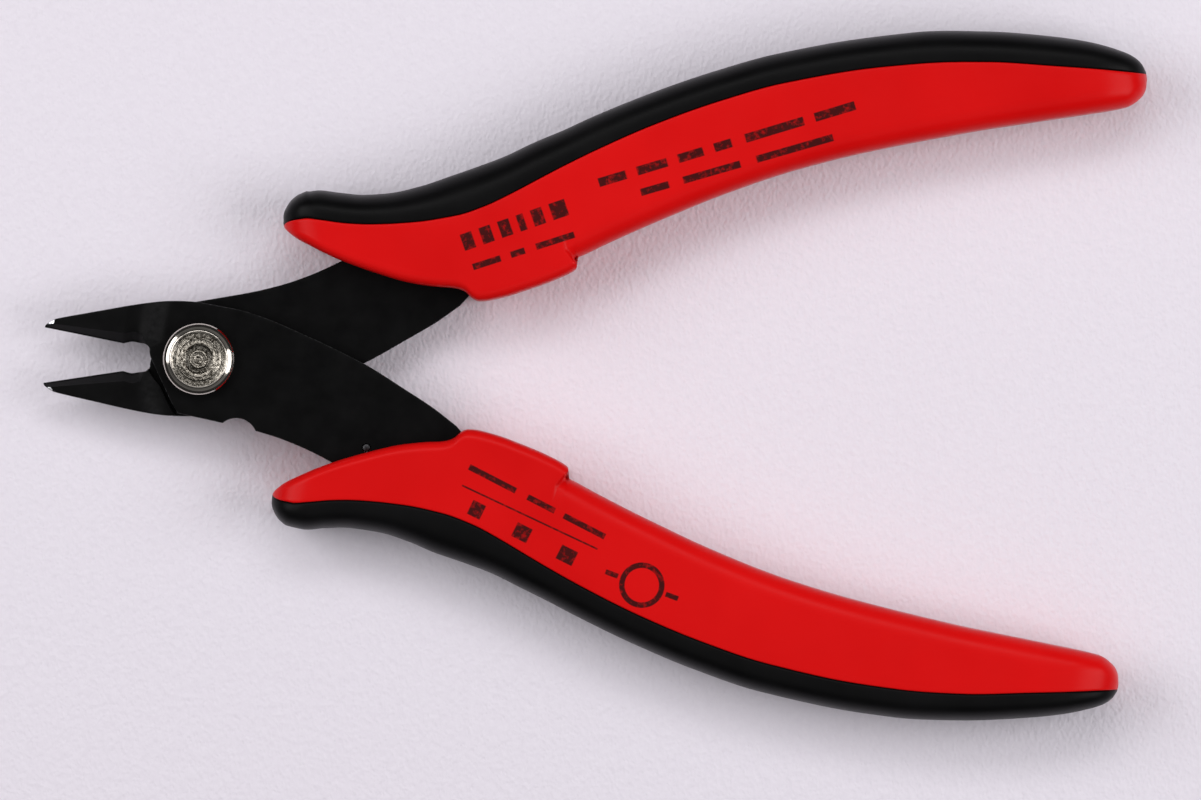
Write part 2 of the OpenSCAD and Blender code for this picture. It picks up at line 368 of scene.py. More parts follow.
def bars(nt, u, v, centre, tilt, length, height, words):
    """A row of plain printed blocks: words are (start, end) as shares of the length."""
    c, s = math.cos(math.radians(tilt)), math.sin(math.radians(tilt))
    du = math_(nt, "SUBTRACT", u, centre[0])
    dv = math_(nt, "SUBTRACT", v, centre[1])
    along = math_(nt, "ADD", math_(nt, "MULTIPLY", du, c), math_(nt, "MULTIPLY", dv, s))
    across = math_(nt, "SUBTRACT", math_(nt, "MULTIPLY", dv, c), math_(nt, "MULTIPLY", du, s))
    t = math_(nt, "ADD", math_(nt, "DIVIDE", along, length), 0.5, True)
    soft = 0.10 / length
    stops = [(0.0, 0.0)]
    for a, b in words:
        stops += [(a, 0.0), (a + soft, 1.0), (b - soft, 1.0), (b, 0.0)]
    row = ramp(nt, t, stops[:31] + [(1.0, 0.0)])
    edge = math_(nt, "DIVIDE", math_(nt, "SUBTRACT", height / 2, math_(nt, "ABSOLUTE", across)), 0.10, True)
    return math_(nt, "MULTIPLY", row, edge)


def ring_mark(nt, u, v, centre, radius, width):
    du = math_(nt, "SUBTRACT", u, centre[0])
    dv = math_(nt, "SUBTRACT", v, centre[1])
    d = math_(nt, "SQRT", math_(nt, "ADD", math_(nt, "MULTIPLY", du, du), math_(nt, "MULTIPLY", dv, dv)))
    d = math_(nt, "ABSOLUTE", math_(nt, "SUBTRACT", d, radius))
    return math_(nt, "DIVIDE", math_(nt, "SUBTRACT", width / 2, d), 0.10, True)


def red_plastic(name, marks):
    """Satin moulded red plastic with faint flow, fine skin texture, rubbed edges and plain black pad-printed marks."""
    m, nt, p = nodes_of(name)
    v = coord(nt)
    cloud = noise(nt, v, 55, 3, 0.5)
    skin = noise(nt, v, 3200, 4, 0.6)
    edge = add(nt, "ShaderNodeAttribute", attribute_name="wear").outputs["Fac"]
    base = ramp(nt, cloud, [(0.3, (0.60, 0.0020, 0.0022)), (0.7, (0.68, 0.0036, 0.0038))])
    base = mix(nt, math_(nt, "MULTIPLY", edge, 0.3), base, (0.72, 0.012, 0.011))
    uvn = nt.nodes.new("ShaderNodeUVMap")
    uvn.uv_map = "UVMap"
    sep = nt.nodes.new("ShaderNodeSeparateXYZ")
    nt.links.new(uvn.outputs["UV"], sep.inputs[0])
    u, w = math_(nt, "MULTIPLY", sep.outputs[0], 120.0), math_(nt, "MULTIPLY", sep.outputs[1], 120.0)
    ink = None
    for kind, args in marks:
        k = bars(nt, u, w, *args) if kind == "bars" else ring_mark(nt, u, w, *args)
        ink = k if ink is None else math_(nt, "MAXIMUM", ink, k)
    top = add(nt, "ShaderNodeAttribute", attribute_name="face").outputs["Fac"]
    thin = ramp(nt, noise(nt, v, 1700, 4, 0.65), [(0.32, 0.55), (0.5, 1.0)])
    ink = math_(nt, "MULTIPLY", math_(nt, "MULTIPLY", ink, top), math_(nt, "MULTIPLY", thin, 0.95))
    base = mix(nt, ink, base, (0.022, 0.004, 0.004))
    nt.links.new(base, p.inputs["Base Color"])
    rough = ramp(nt, noise(nt, v, 210, 4, 0.6), [(0.3, 0.29), (0.7, 0.37)])
    nt.links.new(rough, p.inputs["Roughness"])
    p.inputs["Specular IOR Level"].default_value = 0.1
    p.inputs["Subsurface Weight"].default_value = 0.04
    p.inputs["Subsurface Radius"].default_value = (0.0012, 0.0002, 0.0002)
    p.inputs["Subsurface Scale"].default_value = 1.0
    bump(nt, p, math_(nt, "ADD", skin, math_(nt, "MULTIPLY", ink, 0.4)), 0.12, 0.00004)
    return m


def black_rubber():
    """Soft black elastomer: a fine matt skin with a faint bloom."""
    m, nt, p = nodes_of("black_elastomer")
    v = coord(nt)
    skin = noise(nt, v, 4200, 5, 0.65)
    bloom = noise(nt, v, 130, 4, 0.55)
    nt.links.new(ramp(nt, bloom, [(0.3, (0.0022, 0.0022, 0.0023)), (0.75, (0.0040, 0.0040, 0.0042))]), p.inputs["Base Color"])
    nt.links.new(ramp(nt, bloom, [(0.3, 0.34), (0.7, 0.44)]), p.inputs["Roughness"])
    p.inputs["Specular IOR Level"].default_value = 0.07
    bump(nt, p, skin, 0.2, 0.00004)
    return m


def floor_mat():
    """Pale lilac white card with a fine pressed grain."""
    m, nt, p = nodes_of("pale_board")
    v = coord(nt, (1.15, 0.9, 1))
    vo = nt.nodes.new("ShaderNodeTexVoronoi")
    vo.feature = "SMOOTH_F1"
    vo.inputs["Scale"].default_value = 1750
    vo.inputs["Smoothness"].default_value = 0.7
    warp = noise(nt, v, 900, 3, 0.6)
    comb = nt.nodes.new("ShaderNodeVectorMath")
    comb.operation = "ADD"
    sc = nt.nodes.new("ShaderNodeVectorMath")
    sc.operation = "SCALE"
    n3 = add(nt, "ShaderNodeTexNoise", Scale=650, Detail=3)
    nt.links.new(v, n3.inputs["Vector"])
    nt.links.new(n3.outputs["Color"], sc.inputs[0])
    sc.inputs["Scale"].default_value = 0.0009
    nt.links.new(v, comb.inputs[0])
    nt.links.new(sc.outputs[0], comb.inputs[1])
    nt.links.new(comb.outputs[0], vo.inputs["Vector"])
    h = math_(nt, "ADD", math_(nt, "MULTIPLY", vo.outputs["Distance"], 0.8), math_(nt, "MULTIPLY", warp, 0.7))
    nt.links.new(ramp(nt, warp, [(0.3, (0.775, 0.735, 0.80)), (0.7, (0.80, 0.762, 0.825))]), p.inputs["Base Color"])
    p.inputs["Roughness"].default_value = 0.75
    p.inputs["Specular IOR Level"].default_value = 0.2
    bump(nt, p, h, 0.42, 0.00028)
    return m


OXIDE, BARE, NICKEL, WIRE, RUBBER = steel_black(), steel_bare(), nickel(), wire(), black_rubber()


# ------------------------------------------------------------------ steel halves

TIP_X, EDGE_END = -18.7, -9.2
UNDER_EDGE = -1.05             # height where the ground bevel starts, mm
BEVEL = math.tan(math.radians(28))

# Outline with the jaws shut, handle to +Y and jaw to -Y. Each run is smoothed;
# the joints between the runs stay sharp.
RUNS = [
    ("line", [(-18.7, -0.03), (-9.2, -0.03)]),
    ("curve", [(-9.2, -0.03), (-8.8, -0.22), (-8.3, -0.42), (-7.4, -0.46), (-6.4, -0.42), (-5.98, -0.1),
               (-5.88, 0.35), (-5.7, 0.8), (-5.4, 1.25), (-4.6, 2.4), (-3.4, 4.0), (-2.3, 5.5), (-1.2, 6.75)]),
    ("curve", [(-1.2, 6.75), (1.5, 6.78), (4.2, 6.83)]),
    ("curve", [(8.2, 6.97), (9.7, 7.1), (11, 7.25), (14, 7.8), (16, 8.3), (18, 8.9), (22, 10)]),
    ("curve", [(22, 10), (30, 10.4), (38, 12), (46, 14.2), (54, 16.4), (62, 18.2), (66, 18.6), (68, 17.6)]),
    ("line", [(68, 17.6), (68, 14.6), (66, 13.2)]),
    ("curve", [(66, 13.2), (58, 11.6), (50, 9.2), (46, 8), (44, 6.2), (38, 4.4), (33, 3), (31.3, 1.7)]),
    ("curve", [(31.3, 1.7), (28.3, 0.2), (24.3, -1.4), (19.7, -3.15), (15.5, -4.35), (11, -5.42), (7, -6.25),
               (4, -6.62), (1, -6.6), (-2, -6.5), (-3.8, -6.22), (-5.5, -5.84), (-7.5, -5.22), (-9.4, -4.53),
               (-11.3, -3.79), (-13.3, -3.0), (-15.4, -2.18), (-16.8, -1.62), (-17.6, -1.27)]),
    ("line", [(-17.6, -1.27), (-18.1, -0.88), (-18.45, -0.55), (-18.66, -0.3), (-18.7, -0.03)]),
]


def dense(points, gap, curve):
    p = np.array(points, float)
    s = np.concatenate([[0], np.cumsum(np.hypot(*np.diff(p, axis=0).T))])
    if not curve:
        out = []
        for a, b in zip(p, p[1:]):
            n = max(1, int(round(np.hypot(*(b - a)) / gap)))
            out += [a + (b - a) * i / n for i in range(n)]
        return out + [p[-1]]
    n = max(2, int(round(s[-1] / gap)))
    t = np.linspace(0, s[-1], n + 1)
    return list(hermite(s, p, t))


def hermite(s, p, t):
    """A smooth curve through points, with its slopes from the neighbours on each side."""
    h = np.diff(s)
    d = np.diff(p, axis=0) / h[:, None]
    m = np.zeros_like(p)
    for i in range(1, len(s) - 1):
        m[i] = (d[i - 1] * h[i] + d[i] * h[i - 1]) / (h[i] + h[i - 1])
    m[0], m[-1] = d[0], d[-1]
    k = np.clip(np.searchsorted(s, t) - 1, 0, len(s) - 2)
    w = ((t - s[k]) / h[k])[:, None]
    hk = h[k][:, None]
    return ((2 * w**3 - 3 * w**2 + 1) * p[k] + (w**3 - 2 * w**2 + w) * hk * m[k]
            + (-2 * w**3 + 3 * w**2) * p[k + 1] + (w**3 - w**2) * hk * m[k + 1])


def outline(front):
    pts = []
    for i, (kind, run) in enumerate(RUNS):
        gap = 0.22 if i in (0, 1, 2, 3, 7, 8) else 0.8
        pts += dense(run, gap, kind == "curve")[:-1]
        if i == 2:
            if front:      # the round notch
                cx, cy, r = 6.15, 8.4, 2.5
                pts.append((4.2, 6.83))
                a0, a1 = math.atan2(6.83 - cy, 4.2 - cx), math.atan2(6.97 - cy, 8.2 - cx)
                for k in range(1, 23):
                    a = a0 + (a1 - a0) * k / 23
                    pts.append((cx + r * math.cos(a), cy + r * math.sin(a)))
            else:
                pts += dense([(4.2, 6.83), (6.2, 6.87), (8.2, 6.97)], 0.3, True)[:-1]
    return np.array(pts, float)


def offset(poly, d):
    """The closed polygon moved inwards by d, for a small d."""
    prev, nxt = np.roll(poly, 1, 0), np.roll(poly, -1, 0)
    a, b = poly - prev, nxt - poly
    a /= np.linalg.norm(a, axis=1)[:, None] + 1e-12
    b /= np.linalg.norm(b, axis=1)[:, None] + 1e-12
    area = 0.5 * np.sum(poly[:, 0] * nxt[:, 1] - nxt[:, 0] * poly[:, 1])
    sgn = 1 if area > 0 else -1
    na, nb = np.stack([-a[:, 1], a[:, 0]], 1) * sgn, np.stack([-b[:, 1], b[:, 0]], 1) * sgn
    n = na + nb
    n /= np.maximum(np.sum(n * na, 1), 0.6)[:, None] * 1.0
    ln = np.linalg.norm(n, axis=1)
    n *= np.minimum(1, 1.8 / ln)[:, None]
    return poly + n * d


def inside(poly, q):
    x, y = q[:, 0], q[:, 1]
    hit = np.zeros(len(q), bool)
    p2 = np.roll(poly, -1, 0)
    for (x1, y1), (x2, y2) in zip(poly, p2):
        cond = (y1 > y) != (y2 > y)
        if abs(y2 - y1) < 1e-12:
            continue
        xi = (x2 - x1) * (y - y1) / (y2 - y1) + x1
        hit ^= cond & (x < xi)
    return hit


def dist_to(poly, q):
    """Distance from each point to a closed polygon's edges."""
    best = np.full(len(q), 1e9)
    p2 = np.roll(poly, -1, 0)
    for a, b in zip(poly, p2):
        ab = b - a
        t = np.clip(((q - a) @ ab) / max(ab @ ab, 1e-12), 0, 1)
        d = np.hypot(*(q - (a + t[:, None] * ab)).T)
        best = np.minimum(best, d)
    return best


SHOULDER = [(-6.12, -0.2), (-6.05, -0.6), (-5.75, -1.3), (-5.05, -2.45), (-4.5, -4.3), (-3.9, -6.0), (-3.82, -6.5)]


def left_of_shoulder(q):
    """True where the raised jaw is, left of the shoulder."""
    sh = np.array(SHOULDER, float)
    xs = np.interp(-q[:, 1], -sh[:, 1], sh[:, 0])
    return (q[:, 0] < xs) & (q[:, 1] < -0.02)


def top_of_jaw(x):
    return np.interp(x, [TIP_X, -9.3], [0.0, 1.25])


def edge_line(x):
    return np.where(x < -9.2, -0.03, np.interp(x, [-9.2, -8.3, -6.4], [-0.03, -0.42, -0.44]))


def facet(q, front):
    """The plane of the small facet ground on each tip."""
    x, y = q[:, 0], q[:, 1]
    if front:
        return np.maximum(float(top_of_jaw(-17.75)) + (x + 17.75) * 0.52, -0.9)
    return np.maximum(float(top_of_jaw(-18.0)) + (x + 17.98) * 0.5 - (-0.62 - y) * 0.18, -0.9)


def heights(q, front):
    """Top and bottom of a half over the plan, in mm from the sliding face."""
    x, y = q[:, 0], q[:, 1]
    jaw = left_of_shoulder(q)
    t = np.clip((-x - 3.9 - np.maximum(0, y + 1.2) * 1.6) / 4.6, 0, 1)
    t = t * t * t * (t * (6 * t - 15) + 10)
    # the ground bevel, down to the narrow land at the cutting edge
    cut = UNDER_EDGE + (edge_line(x) - y) / BEVEL
    cut = np.where(x > -7.4, cut + (x + 7.4) * 3.2, cut)
    flat = top_of_jaw(x)
    if front:
        top = 2.5 + (flat - 2.5) * t
        top = np.where(jaw | (x < -6.3), np.minimum(top, np.maximum(cut, UNDER_EDGE)), top)
        bot = np.where(jaw, -1.25, GAP)
    else:
        top = np.where(jaw, np.minimum(flat, np.maximum(cut, UNDER_EDGE)), -GAP)
        bot = -2.5 + 1.25 * t
    # the tip, ground off on the slant
    top = np.where(x < -16.6, np.minimum(top, facet(q, front)), top)
    return top, bot, 4 * t * (1 - t)


def blade(name, front):
    loop = outline(front)
    r = 0.11
    inner = offset(loop, r)
    mid = offset(loop, 0.29 * r)
    n = len(loop)
    # crease lines that the mesh must follow
    extra = []
    bev = []
    for x in np.linspace(TIP_X + 0.9, -7.6, 56):
        bev.append((x, float(edge_line(np.array([x]))[0]) - (float(top_of_jaw(x)) - UNDER_EDGE) * BEVEL))
    extra.append(bev)
    fx = -17.75 if front else -18.0
    extra.append([(fx, v) for v in np.linspace(-0.5, -1.4, 12)])
    sh = np.array(SHOULDER, float)
    shd = np.array(dense(sh, 0.2, False))
    extra.append([tuple(v + np.array([-0.025, 0])) for v in shd])
    extra.append([tuple(v + np.array([0.025, 0])) for v in shd])
    # interior points: finer in the jaws
    def grid(x0, x1, y0, y1, g):
        gx, gy = np.meshgrid(np.arange(x0, x1, g), np.arange(y0, y1, g * 0.87))
        gx[1::2] += g / 2
        return np.stack([gx.ravel(), gy.ravel()], 1)
    pts = np.concatenate([grid(-18.7, -17.2, -1.6, 0, 0.07), grid(-17.1, -3.6, -7, 7, 0.21), grid(-3.6, 33, -7, 11, 0.7), grid(33, 69, 1, 19, 2.5)])
    keep = inside(inner, pts)
    pts = pts[keep]
    pts = pts[dist_to(inner, pts) > np.where(pts[:, 0] < -17.15, 0.03, 0.09)]
    for line in extra:
        l = np.array(line)
        near = np.full(len(pts), 1e9)
        for a, b in zip(l, l[1:]):
            ab = b - a
            tt = np.clip(((pts - a) @ ab) / max(ab @ ab, 1e-12), 0, 1)
            near = np.minimum(near, np.hypot(*(pts - (a + tt[:, None] * ab)).T))
        pts = pts[near > np.where(pts[:, 0] < -17.15, 0.03, 0.07)]
    coords = [Vector(v) for v in inner]
    edges = [(i, (i + 1) % n) for i in range(n)]
    holes = []
    bore = [(2.53 if front else 2.5, 72, 0.0, 0.0)]
    if front:
        bore.append((0.55, 24, 21.4, 6.3))
    for rad, cnt, cx, cy in bore:
        start = len(coords)
        h = [(cx + rad * math.cos(2 * math.pi * k / cnt), cy + rad * math.sin(2 * math.pi * k / cnt)) for k in range(cnt)]
        coords += [Vector(v) for v in h]
        edges += [(start + k, start + (k + 1) % cnt) for k in range(cnt)]
        holes.append(np.array(h))
    if len(pts):
        for h in holes:
            pts = pts[~inside(h, pts)]
            pts = pts[dist_to(h, pts) > 0.12]
    for line in extra:
        l = np.array(line)
        ok = inside(inner, l) & (dist_to(inner, l) > 0.02)
        prev = None
        for v, good in zip(l, ok):
            if good:
                coords.append(Vector(v))
                if prev is not None:
                    edges.append((prev, len(coords) - 1))
                prev = len(coords) - 1
            else:
                prev = None
    coords += [Vector(v) for v in pts]
    res = delaunay_2d_cdt(coords, edges, [], 0, 1e-5, True)
    vs = np.array([tuple(v) for v in res[0]], float)
    tris = np.array([f for f in res[2] if len(f) == 3], int)
    cen = vs[tris].mean(1)
    ok = inside(inner, cen)
    for h in holes:
        ok &= ~inside(h, cen)
    tris = tris[ok]
    # which output vertex each inner-ring and hole point became
    where = {}
    for i, orig in enumerate(res[3]):
        for o in orig:
            where[o] = i
    m = len(vs)
    top, bot, jog = heights(vs, front)
    tl, bl, jl = heights(inner, front)
    verts = [np.concatenate([vs, top[:, None]], 1), np.concatenate([vs, bot[:, None]], 1)]
    faces = [tuple(t) for t in tris] + [tuple(t + m)[::-1] for t in tris]
    wear = [np.zeros(m), np.zeros(m)]
    jogs = [jog, jog]
    base = 2 * m
    # rounded rim: mid ring and outer ring, above and below
    drop_m, drop_o = 0.29 * r, r
    ringz = [(mid, tl - drop_m, 1.0), (loop, tl - drop_o, 0.8), (loop, bl + drop_o, 0.8), (mid, bl + drop_m, 1.0)]
    ids = []
    for ring, z, w in ringz:
        ids.append(base + np.arange(n))
        verts.append(np.concatenate([ring, z[:, None]], 1))
        wear.append(np.full(n, w))
        jogs.append(jl)
        base += n
    in_top = np.array([where[i] for i in range(n)])
    in_bot = in_top + m
    chain = [in_top, ids[0], ids[1], ids[2], ids[3], in_bot]
    for a, b in zip(chain, chain[1:]):
        for i in range(n):
            j = (i + 1) % n
            faces.append((a[i], a[j], b[j], b[i]))
    start = n
    for (rad, cnt, cx, cy), h in zip(bore, holes):
        a = np.array([where[start + k] for k in range(cnt)])
        for k in range(cnt):
            l = (k + 1) % cnt
            faces.append((a[k], a[k] + m, a[l] + m, a[l]))
        start += cnt
    co = np.concatenate(verts)
    wv = np.concatenate(wear)
    # bare ground steel on the tip's slant face
    index = []
    bare_v = (co[:, 0] < -17.0) & (np.abs(co[:, 2] - facet(co, front)) < 0.03) & (co[:, 1] < -0.1)
    for f in faces:
        index.append(1 if all(bare_v[i] for i in f) else 0)
    # the jog attribute marks the set-over slope, where the black oxide material paints a mottled highlight
    ob = make(name, to_row(co, not front), faces, 42,
              attrs={"wear": wv, "jog": np.concatenate(jogs)}, mats=[OXIDE, BARE], mat_index=index)
    return ob


front_blade = blade("front_blade_steel", True)
rear_blade = blade("rear_blade_steel", False)

# ------------------------------------------------------------------ pivot

Z0, Z1 = 2.53, 4.43
stud = lathe("pivot_stud_turned", rounded([
    (0, -5.0), (1.5, -5.0), (1.8, -4.75), (1.8, -2.6), (2.5, -2.5), (2.5, 2.5), (2.6, Z0), (4.2, Z0), (4.25, Z0 + 0.08),
    (4.25, Z1 - 0.78), (4.2, Z1 - 0.62), (4.06, Z1 - 0.46), (3.8, Z1 - 0.27), (3.46, Z1 - 0.1), (3.36, Z1), (3.26, Z1), (3.12, Z1 - 0.1),
    (3.0, Z1 - 0.17), (2.62, Z1 - 0.17), (2.5, Z1 - 0.07), (2.42, Z1 - 0.05), (2.34, Z1 - 0.12), (2.2, Z1 - 0.13),
    (2.1, Z1 - 0.07), (1.78, Z1 - 0.07), (1.66, Z1 - 0.2), (1.5, Z1 - 0.3), (1.16, Z1 - 0.3), (1.04, Z1 - 0.14),
    (0.86, Z1 - 0.12), (0.78, Z1 - 0.22), (0.6, Z1 - 0.24), (0.5, Z1 - 0.12), (0.28, Z1 - 0.12), (0.2, Z1 - 0.24), (0, Z1 - 0.24)],
    0.045, 2), 192, 38, [NICKEL])
collar = lathe("pivot_collar_turned", rounded([
    (1.8, -2.55), (1.8, -4.7), (1.95, -4.9), (3.2, -4.9), (3.3, -4.82), (3.5, -4.82), (3.6, -4.95), (4.05, -4.95),
    (4.5, -4.5), (4.5, -3.92), (4.42, -3.85), (3.1, -3.85), (3.1, -2.55), (1.8, -2.55)], 0.06, 2), 160, 38, [NICKEL])


# ------------------------------------------------------------------ spring

def spring():
    w, zc, br, loop_r = 0.5, -2.5 - 0.5 - 0.15, 1.0, 3.9
    c, s = math.cos(HALF), math.sin(HALF)
    h = np.array([21.4 * c - 6.3 * s, 21.4 * s + 6.3 * c])
    ta = math.atan2(h[1], h[0]) + math.acos(loop_r / np.linalg.norm(h))
    leg = math.sqrt(h @ h - loop_r**2)
    u, n = np.array([math.sin(ta), -math.cos(ta)]), np.array([math.cos(ta), math.sin(ta)])

    def side(m, tip):
        f = lambda v: np.array([v[0], m * v[1]])
        hx = loop_r * n + leg * u
        out = []
        for q, k in ((tip, 0.72), (tip - 0.06, 0.94), (tip - 0.14, 1.0), (zc + br, 1.0)):
            out.append((np.array([*f(hx), q]), np.array([0, 0, -1.0]), np.array([*f(n), 0]), k))
        for a in np.linspace(0, math.pi / 2, 11)[1:]:
            cc = hx - br * u + br * math.cos(a) * u
            out.append((np.array([*f(cc), zc + br - br * math.sin(a)]),
                        np.array([*(-math.sin(a) * f(u)), -math.cos(a)]), np.array([*f(n), 0]), 1.0))
        for d in np.linspace(leg - br - 0.4, 0.5, 30):
            cc = loop_r * n + d * u
            out.append((np.array([*f(cc), zc]), np.array([*(-f(u)), 0]), np.array([*f(n), 0]), 1.0))
        return out

    route = side(1, -0.6)
    for a in np.linspace(ta, 2 * math.pi - ta, 49):
        route.append((np.array([loop_r * math.cos(a), loop_r * math.sin(a), zc]),
                      np.array([-math.sin(a), math.cos(a), 0]), np.array([math.cos(a), math.sin(a), 0]), 1.0))
    route += [(p, -t, s_, k) for p, t, s_, k in reversed(side(-1, 2.4))]
    loops = []
    for p, t, s_, k in route:
        b = np.cross(t, s_)
        loops.append([p + w * k * (math.cos(q) * s_ + math.sin(q) * b) for q in np.arange(20) * 2 * math.pi / 20])
    co = (np.array(loops).reshape(-1, 3) + np.array(PIVOT)) * MM
    return make("return_spring_wire", co, rings(loops), 60, mats=[WIRE])


wire_ob = spring()

# ------------------------------------------------------------------ grips

# x, parting line, outer edge, half thickness; the outer edge of the lower grip is given apart
SO = [
    (11.9, 14.1, 14.42, 0.7), (12.05, 14.2, 15.35, 2.1), (12.5, 14.4, 16.15, 3.3), (13.3, 14.5, 17.0, 4.3),
    (14.5, 14.5, 17.55, 5.0), (16.2, 14.1, 17.65, 5.38), (19, 13.3, 17.0, 5.5), (22, 12.7, 16.3, 5.5),
    (25.5, 12.3, 16.05, 5.5), (29, 12.1, 16.35, 5.5), (32.6, 12.2, 17.0, 5.5), (36, 12.8, 17.65, 5.5), (39, 13.7, 18.3, 5.5),
    (43, 15.1, 19.5, 5.5), (46.2, 16.2, 20.3, 5.5), (50, 17.4, 21.4, 5.5), (57, 19.3, 23.1, 5.5),
    (65, 20.9, 24.6, 5.5), (73, 21.9, 25.58, 5.5), (81, 22.15, 25.87, 5.5), (89, 21.8, 25.67, 5.5), (97, 20.8, 24.6, 5.5),
    (105, 19.1, 22.8, 5.5), (109.5, 18.1, 21.4, 5.3), (112.4, 17.4, 20.1, 4.7), (114.1, 17, 19.05, 3.7),
    (115.0, 16.8, 18.0, 2.3), (115.35, 16.72, 17.05, 0.8),
]
LOW_O = [
    (11.9, 14.38), (12.05, 15.25), (12.5, 16.0), (13.3, 16.8), (14.5, 17.35), (16.2, 17.4), (19, 16.7), (22, 16.1),
    (25.5, 15.95), (29, 16.35), (32.6, 17.0), (36, 17.5), (39, 18.0), (43, 19.05), (46.2, 19.9), (50, 21.0), (57, 22.8),
    (65, 24.4), (73, 25.4), (81, 25.6), (89, 25.25), (97, 24.1), (105, 22.25), (109.5, 20.9), (112.4, 19.7),
    (114.1, 18.75), (115.0, 17.8), (115.35, 17.0),
]
# inner edge of the front flare, and of the handle behind its step
FLARE = [
    (11.9, 14.02), (12.05, 13.7), (12.5, 13.1), (13.3, 12.3), (14.5, 11.4), (16.2, 10.2), (19, 8.5), (22, 6.95),
    (25.5, 5.35), (28.5, 4.4), (31.2, 3.75), (32.2, 3.2), (32.9, 2.3), (33.5, 1.92), (34.5, 1.8), (37, 1.98), (39, 2.3),
    (43, 3.1), (45.2, 3.8), (45.9, 4.25), (46.4, 4.9), (50, 7.5), (60, 12), (115.35, 16.7),
]
HANDLE = [
    (11.9, 14.02), (30, 6.0), (40, 4.6), (44, 4.85), (46.2, 5.35), (50, 6.5), (57, 8.4), (65, 10.3), (73, 11.7), (81, 12.5),
    (89, 12.9), (97, 13.1), (105, 13.1), (109.5, 13.1), (112.4, 13.2), (114.1, 13.9), (115.0, 14.85), (115.35, 16.0),
]


def stations():
    xs = list(11.9 + 2.6 * (1 - np.cos(np.linspace(0, math.pi / 2, 16))))
    xs += list(np.arange(14.7, 31, 0.45)) + list(np.arange(31, 35, 0.16)) + list(np.arange(35.2, 43.2, 0.4))
    xs += list(np.arange(43.4, 47.2, 0.13)) + list(np.arange(47.5, 111.6, 0.62))
    xs += list(115.35 - 3.5 * (1 - np.cos(np.linspace(math.pi / 2, 0, 20))))
    return np.array(sorted(set(np.round(xs, 4))))


XS = stations()
so = pchip([r[0] for r in SO], [r[1:] for r in SO], XS)
S_, H_ = so[:, 0], so[:, 2]
O_UP = so[:, 1] + 0.16 * np.exp(-((XS - 15.0) / 0.28) ** 2)      # a small nib left by the mould
O_LOW = pchip([r[0] for r in LOW_O], [r[1] for r in LOW_O], XS)[:, 0]
X_UP = XS + 0.25 * (1 - step(12, 30, XS)) + 0.05 * step(95, 115, XS)
X_LOW = XS - 0.4 * step(8, 14, XS) - 1.1 * step(75, 115, XS) - 0.45 * np.exp(-((XS - 32.5) / 2.4) ** 2)
LOW_IN = 0.14                                                    # the lower grip sits this much nearer the middle
I1 = pchip([r[0] for r in FLARE], [r[1] for r in FLARE], XS)[:, 0]
I2 = pchip([r[0] for r in HANDLE], [r[1] for r in HANDLE], XS)[:, 0]
FACE_DROP = 0.0


def body_mesh(name, rear, mat):
    loops, uvs, wear, face = [], [], [], []
    na = 10
    for x, xw, s, h, i1, i2 in zip(XS, X_UP if rear else X_LOW, S_, H_, I1, I2):
        i1, i2 = min(i1, s - 0.02), min(i2, s - 0.02)
        c1 = min(1.25, 0.42 * (s - i1), 0.8 * h)
        c2y, c2z = min(2.9, 0.55 * (s - i2)), min(2.4, 0.85 * h)
        te = float(step(45.5, 46.0, x))
        ix = i1 * (1 - te) + i2 * te
        a1 = c1 * (1 - te) + min(1.25, c2y) * te
        a2 = max(a1 * 1.15, c2y)

        def height(y):
            d1 = min(max((y - i1) / c1, 0), 1)
            d2 = min(max((y - i2) / c2y, 0), 1)
            zf = h - c1 + c1 * math.sqrt(1 - (1 - d1) ** 2)
            zh = h - c2z + c2z * (1 - (1 - d2) ** 2.2) ** 0.5
            if x < 42.9:
                return zf
            if x > 47.0:
                return zh
            ex = 45.75 - (y - 4.6) * 0.64
            t = float(step(ex - 0.22, ex + 0.22, x))
            return zf * (1 - t) + zh * t

        ys = [ix + a1 * (1 - math.cos(math.pi / 2 * k / na)) for k in range(na + 1)]
        ys += [ix + a1 + (a2 - a1) * k / 8 for k in range(1, 9)]
        z0 = height(ix)
        ring = [(ix, z0 * k / 4, 0.0) for k in range(4)]
        for k, y in enumerate(ys):
            ring.append((y, height(y), math.sin(math.pi * k / na) if k < na else 0.0))
        y_last = ring[-1][0]
        g = min(0.22, 0.2 * (s - y_last))
        for k in range(1, 6):
            f = k / 6
            ring.append((y_last + (s - g - y_last) * f, h, 0.0))
        ring.append((s - g, h, 0.0))
        ring.append((s - 0.35 * g, h - 0.12 * g, 0.35))
        ring.append((s - 0.06 * g, h - 0.5 * g, 0.6))
        ring.append((s, h - 1.1 * g, 0.0))
        ring.append((s, max(0.35 * h, h - 0.9), 0.0))
        up = [(x, y, z, e) for y, z, e in ring]
        down = [(x, y, -z, e) for y, z, e in ring[1:]][::-1]
        full = up + [(x, s, 0.0, 0.0)] + down
        dy = 0.0 if rear else LOW_IN
        loops.append([(xw, b - dy, c) for a, b, c, _ in full])
        uvs += [(xw / 120, b / 120) for a, b, c, _ in full]
        wear += [e for *_, e in full]
        face += [1.0 if c > h - 0.25 and c > 0 else 0.0 for a, b, c, _ in full]
    co = np.array(loops).reshape(-1, 3)
    return make(name, to_row(co, rear), rings(loops), 55, attrs={"wear": wear, "face": face}, uv=uvs, mats=[mat])


